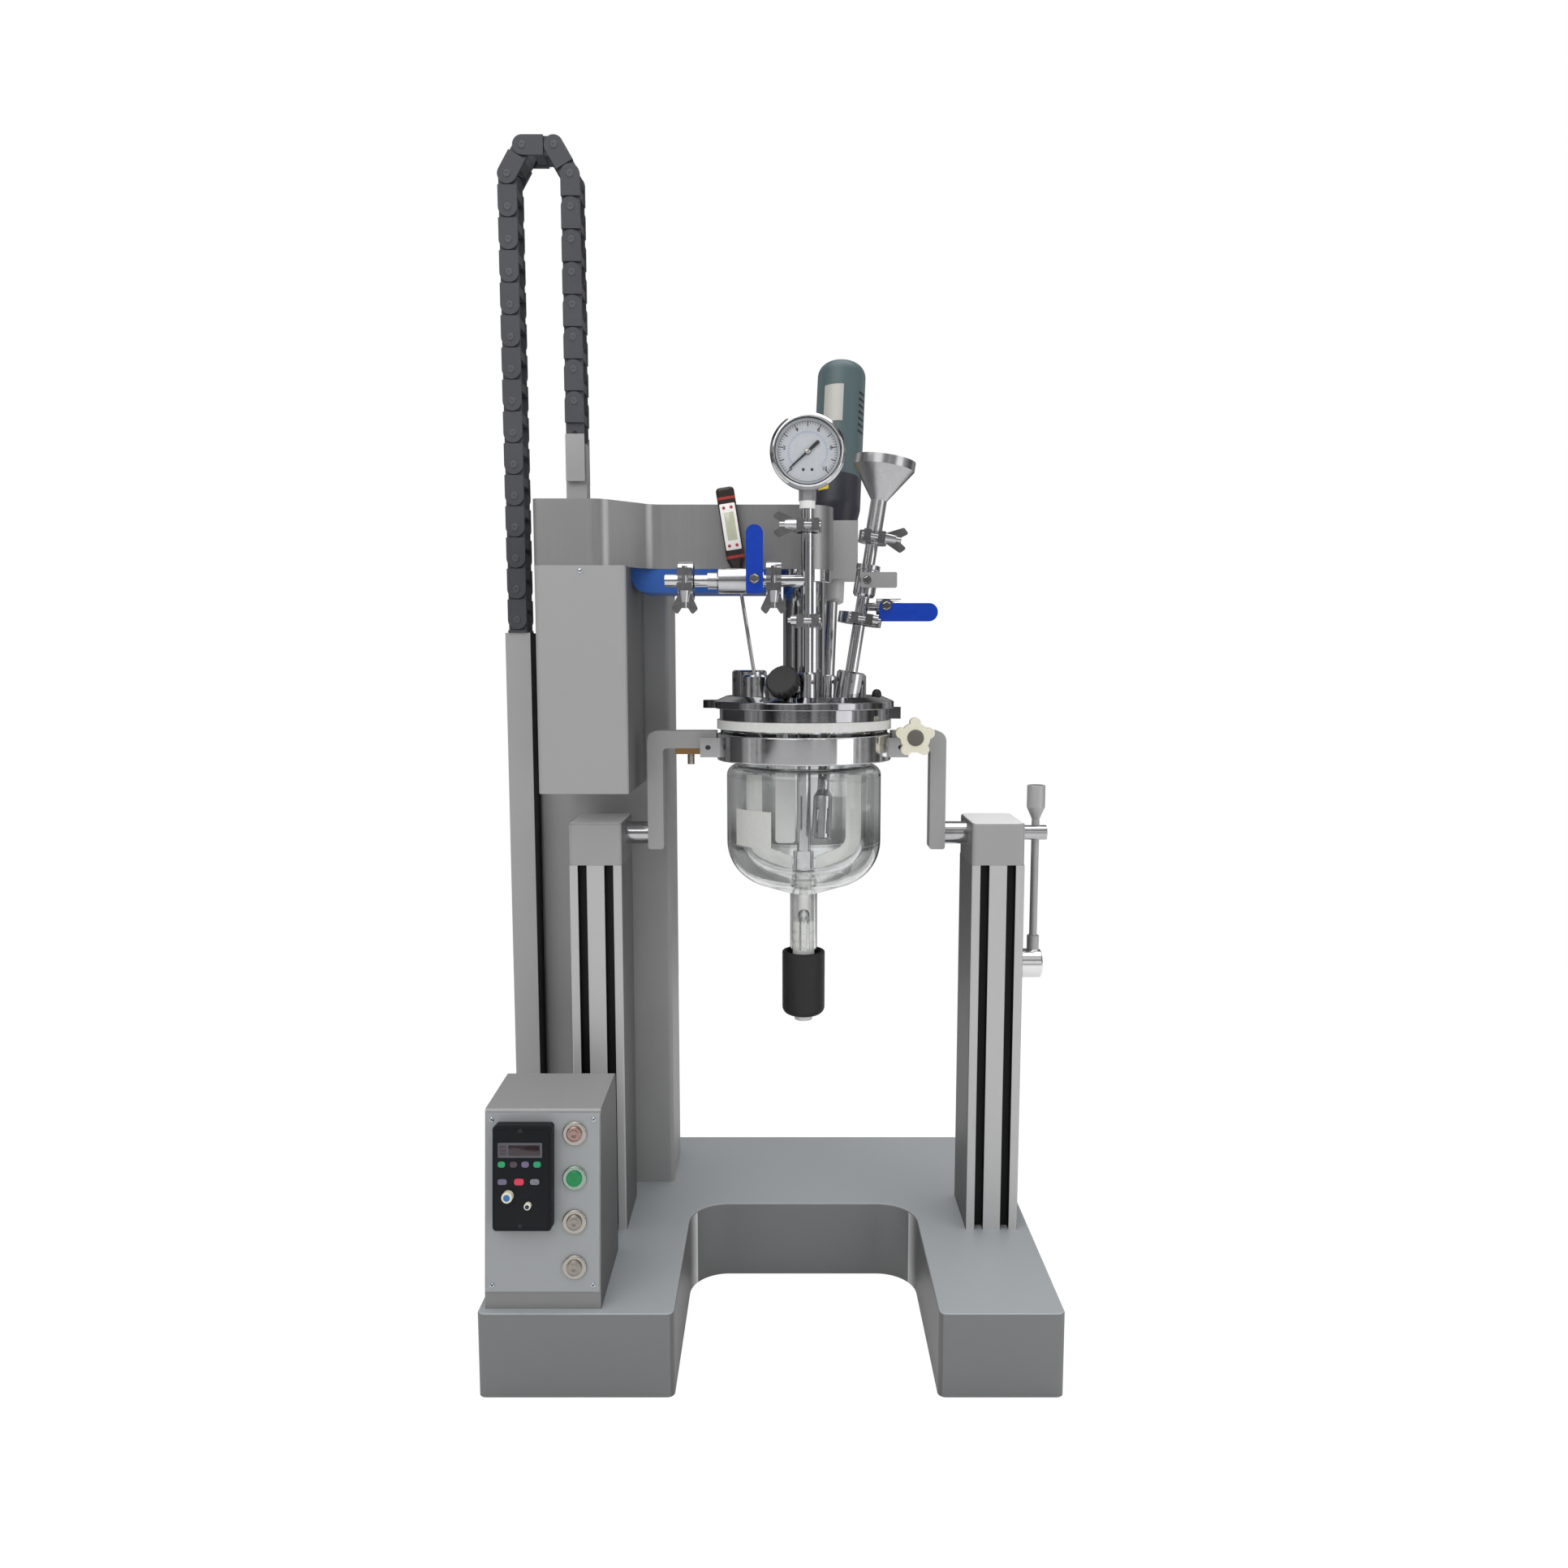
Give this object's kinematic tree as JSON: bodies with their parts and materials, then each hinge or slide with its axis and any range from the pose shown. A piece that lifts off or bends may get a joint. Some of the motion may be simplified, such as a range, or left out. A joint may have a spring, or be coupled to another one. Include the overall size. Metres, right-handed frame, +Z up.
{
  "type": "vacuum emulsifying mixer",
  "caption": "Bench vacuum emulsifying mixer: jacketed glass vessel with stirrer and homogenizer, lifting head with gauge, valves and funnel, control box and cable chain.",
  "frame": {"origin": "centre of the base's underside, on the surface it stands on", "axes": "+Z up, +X to the operator's right, -Y towards the operator"},
  "size_m": [0.6373, 0.4435, 1.3452],
  "materials": {
    "brushed_stainless": "brushed",
    "frame_steel": "matte",
    "column_paint": "satin",
    "grey_paint": "satin",
    "arm_paint": "satin",
    "blue_paint": "satin",
    "anodised_profile": "anodised",
    "aluminium_tube": "satin",
    "polished_steel": "polished",
    "satin_steel": "satin",
    "borosilicate_glass": "polished",
    "white_seal": "satin",
    "black_plastic": "satin",
    "dark_plastic": "satin",
    "slate_plastic": "satin",
    "cream_plastic": "gloss",
    "green_plastic": "gloss",
    "blue_sleeve": "gloss",
    "belt_rubber": "matte",
    "chain_plastic": "satin"
  },
  "bodies": {
    "stand": {"base_cover": "brushed_stainless", "base_frame": "frame_steel", "column_housing": "column_paint", "column_collar": "black_plastic", "lift_actuator_tube": "aluminium_tube", "chain_support_tube": "aluminium_tube", "chain_fixed_run": "chain_plastic", "post_profiles": "anodised_profile", "trunnion_shafts": "polished_steel", "tilt_brackets": "satin_steel", "ring_clamp": "polished_steel", "glass_vessel": "borosilicate_glass", "vessel_gasket": "white_seal", "control_box": "grey_paint", "control_panel": "grey_paint", "inverter_module": "dark_plastic"},
    "head": {"arm_housing": "arm_paint", "drive_box": "grey_paint", "drive_cover": "blue_paint", "lift_ram": "polished_steel", "chain_post": "anodised_profile", "stirrer_motor": "frame_steel", "drive_belt": "belt_rubber", "stirrer_tube": "polished_steel", "lid": "polished_steel", "port_nuts": "polished_steel", "pipe_clamps": "polished_steel", "process_pipes": "polished_steel", "ball_valve_bodies": "polished_steel", "gauge_case": "polished_steel", "funnel": "polished_steel", "homogenizer_drive": "slate_plastic", "homogenizer_coupling": "aluminium_tube", "homogenizer_stem": "polished_steel"},
    "stirrer": {"stirrer_shaft": "polished_steel", "scraper_blades": "white_seal"},
    "motor_rotor": {"motor_pulley": "aluminium_tube"},
    "homogenizer_spindle": {"homogenizer_rotor": "polished_steel"},
    "vacuum_lever": {"vacuum_valve_lever": "blue_sleeve"},
    "feed_lever": {"feed_valve_lever": "blue_sleeve"},
    "small_handle": {"small_valve_handle": "satin_steel"},
    "needle": {"gauge_needle": "black_plastic"},
    "grip": {"drain_grip": "black_plastic"},
    "plug": {"drain_plug": "white_seal"},
    "vent_knob": {"lid_knob": "black_plastic"},
    "bracket_knob": {"star_knob": "satin_steel"},
    "tilt_lock": {"lock_lever": "polished_steel"},
    "button_1": {"push_button_1": "satin_steel"},
    "button_2": {"push_button_2": "green_plastic"},
    "button_3": {"push_button_3": "satin_steel"},
    "button_4": {"push_button_4": "satin_steel"},
    "speed_knob": {"inverter_knob": "cream_plastic"},
    "trim": {"trim_knob": "cream_plastic"},
    "probe": {"thermometer": "black_plastic"},
    "link_1": {"chain_link_1": "chain_plastic"},
    "link_2": {"chain_link_2": "chain_plastic"},
    "link_3": {"chain_link_3": "chain_plastic"},
    "link_4": {"chain_link_4": "chain_plastic"},
    "link_5": {"chain_link_5": "chain_plastic"},
    "moving_run": {"chain_moving_run": "chain_plastic"}
  },
  "joints": [
    {"name": "lift", "type": "slide", "parent": "stand", "child": "head", "axis": [0, 0, 1], "range_m": [0, 0.216]},
    {"name": "stirrer_spin", "type": "hinge", "parent": "head", "child": "stirrer", "pos_m": [0.036, 0, 0.78], "axis": [0, 0, 1], "continuous": true},
    {"name": "motor_spin", "type": "hinge", "parent": "head", "child": "motor_rotor", "pos_m": [-0.205, 0, 0.83], "axis": [0, 0, 1], "continuous": true},
    {"name": "rotor_spin", "type": "hinge", "parent": "head", "child": "homogenizer_spindle", "pos_m": [0.064, 0.024, 0.711], "axis": [0.0486, 0.2294, 0.9721], "continuous": true},
    {"name": "vacuum_valve_turn", "type": "hinge", "parent": "head", "child": "vacuum_lever", "pos_m": [-0.018, -0.085, 0.836], "axis": [0, -1, 0], "range_deg": [0, 90]},
    {"name": "feed_valve_turn", "type": "hinge", "parent": "head", "child": "feed_lever", "pos_m": [0.126, -0.03, 0.811], "axis": [0, -1, 0], "range_deg": [0, 90]},
    {"name": "small_valve_turn", "type": "hinge", "parent": "head", "child": "small_handle", "pos_m": [0.10492, -0.03, 0.8395], "axis": [0, -1, 0], "range_deg": [0, 90]},
    {"name": "needle_swing", "type": "hinge", "parent": "head", "child": "needle", "pos_m": [0.038, -0.08, 0.97], "axis": [0, 1, 0], "range_deg": [0, 270], "stiffness_Nm_per_rad": 0.0002},
    {"name": "drain_grip_turn", "type": "hinge", "parent": "stand", "child": "grip", "pos_m": [0.036, 0, 0.374], "axis": [0, 0, 1], "range_deg": [0, 360]},
    {"name": "drain_plug_slide", "type": "slide", "parent": "stand", "child": "plug", "axis": [0, 0, -1], "range_m": [0, 0.0121]},
    {"name": "vent_knob_turn", "type": "hinge", "parent": "head", "child": "vent_knob", "pos_m": [0.012, -0.088, 0.728], "axis": [-0.303, -0.8081, 0.5051], "range_deg": [0, 360]},
    {"name": "bracket_knob_turn", "type": "hinge", "parent": "stand", "child": "bracket_knob", "pos_m": [0.16, -0.036, 0.665], "axis": [0, 1, 0], "range_deg": [0, 360]},
    {"name": "tilt_lock_swing", "type": "hinge", "parent": "stand", "child": "tilt_lock", "pos_m": [0.2953, 0.014, 0.393], "axis": [1, 0, 0], "range_deg": [-90, 0]},
    {"name": "speed_knob_turn", "type": "hinge", "parent": "stand", "child": "speed_knob", "pos_m": [-0.2651, -0.21872, 0.21401], "axis": [0, -0.9943, 0.1069], "range_deg": [0, 270]},
    {"name": "trim_knob_turn", "type": "hinge", "parent": "stand", "child": "trim", "pos_m": [-0.245, -0.21974, 0.20447], "axis": [0, -0.9943, 0.1069], "range_deg": [0, 270]},
    {"name": "thermometer_pull", "type": "slide", "parent": "head", "child": "probe", "axis": [-0.1565, 0, 0.9877], "range_m": [0, 0.15]},
    {"name": "button_1_press", "type": "slide", "parent": "stand", "child": "button_1", "axis": [0, 0.9943, -0.1069], "range_m": [0, 0.003], "stiffness_N_per_m": 300, "springref_m": -0.001},
    {"name": "button_2_press", "type": "slide", "parent": "stand", "child": "button_2", "axis": [0, 0.9943, -0.1069], "range_m": [0, 0.003], "stiffness_N_per_m": 300, "springref_m": -0.001},
    {"name": "button_3_press", "type": "slide", "parent": "stand", "child": "button_3", "axis": [0, 0.9943, -0.1069], "range_m": [0, 0.003], "stiffness_N_per_m": 300, "springref_m": -0.001},
    {"name": "button_4_press", "type": "slide", "parent": "stand", "child": "button_4", "axis": [0, 0.9943, -0.1069], "range_m": [0, 0.003], "stiffness_N_per_m": 300, "springref_m": -0.001},
    {"name": "chain_bend_1", "type": "hinge", "parent": "stand", "child": "link_1", "pos_m": [-0.303, 0.067, 1.303], "axis": [0, 1, 0], "range_deg": [-30.1, 0]},
    {"name": "chain_bend_2", "type": "hinge", "parent": "link_1", "child": "link_2", "pos_m": [-0.285, 0.067, 1.33418], "axis": [0, 1, 0], "range_deg": [-60.1, 0]},
    {"name": "chain_bend_3", "type": "hinge", "parent": "link_2", "child": "link_3", "pos_m": [-0.249, 0.067, 1.33418], "axis": [0, 1, 0], "range_deg": [-60.1, 0]},
    {"name": "chain_bend_4", "type": "hinge", "parent": "link_3", "child": "link_4", "pos_m": [-0.231, 0.067, 1.267], "axis": [0, 1, 0], "range_deg": [0, 60.1]},
    {"name": "chain_bend_5", "type": "hinge", "parent": "link_4", "child": "link_5", "pos_m": [-0.231, 0.067, 1.231], "axis": [0, 1, 0], "range_deg": [0, 60.1]},
    {"name": "chain_bend_6", "type": "hinge", "parent": "link_5", "child": "moving_run", "pos_m": [-0.231, 0.067, 1.195], "axis": [0, 1, 0], "range_deg": [0, 30.1]}
  ],
  "couplings": [
    {"joint": "motor_spin", "follows": "stirrer_spin", "ratio": 1.8571},
    {"joint": "drain_plug_slide", "follows": "drain_grip_turn", "m_per_rad": 0.0019099},
    {"joint": "chain_bend_1", "follows": "lift", "rad_per_m": -2.4241},
    {"joint": "chain_bend_2", "follows": "lift", "rad_per_m": -4.8481},
    {"joint": "chain_bend_3", "follows": "lift", "rad_per_m": -4.8481},
    {"joint": "chain_bend_4", "follows": "lift", "rad_per_m": 4.8481},
    {"joint": "chain_bend_5", "follows": "lift", "rad_per_m": 4.8481},
    {"joint": "chain_bend_6", "follows": "lift", "rad_per_m": 2.4241}
  ]
}
